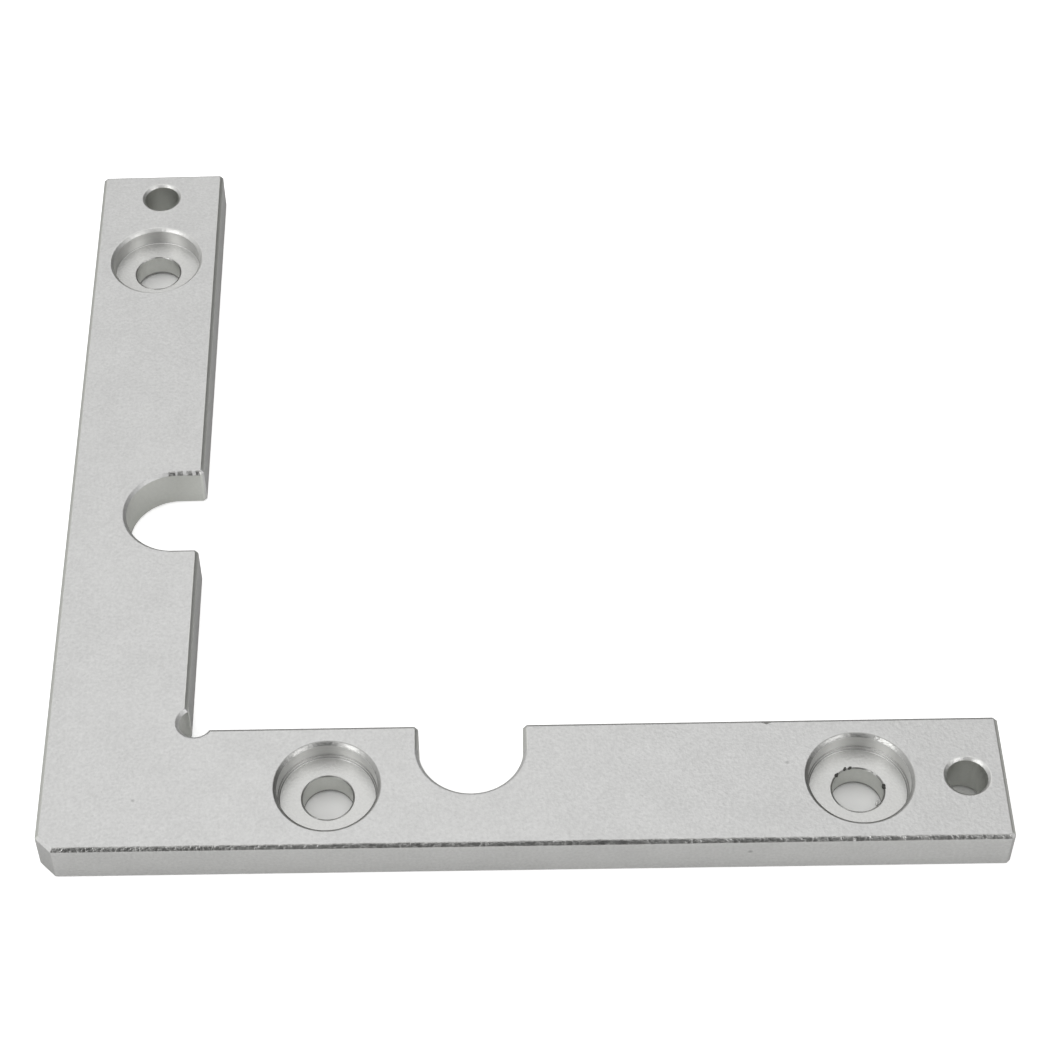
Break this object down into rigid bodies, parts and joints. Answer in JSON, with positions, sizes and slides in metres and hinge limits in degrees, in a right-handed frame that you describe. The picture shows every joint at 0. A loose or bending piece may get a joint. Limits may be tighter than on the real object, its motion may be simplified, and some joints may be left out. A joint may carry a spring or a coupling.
{
  "type": "l-bracket",
  "caption": "Flat L-shaped corner bracket of machined aluminium plate, with counterbored screw holes, U-shaped notches in its inner faces and a relieved inner corner.",
  "frame": {"origin": "on the underside, below the middle of the square that the two arms span", "axes": "+X along the first arm towards its end, +Y along the second arm towards its end, +Z out of the face that has the counterbores"},
  "size_m": [0.1, 0.1, 0.005],
  "materials": {
    "anodised_aluminium": "fine bead-blasted and clear anodised, satin, with bright machined chamfers"
  },
  "bodies": {
    "root": {"bracket": "anodised_aluminium"}
  },
  "joints": []
}
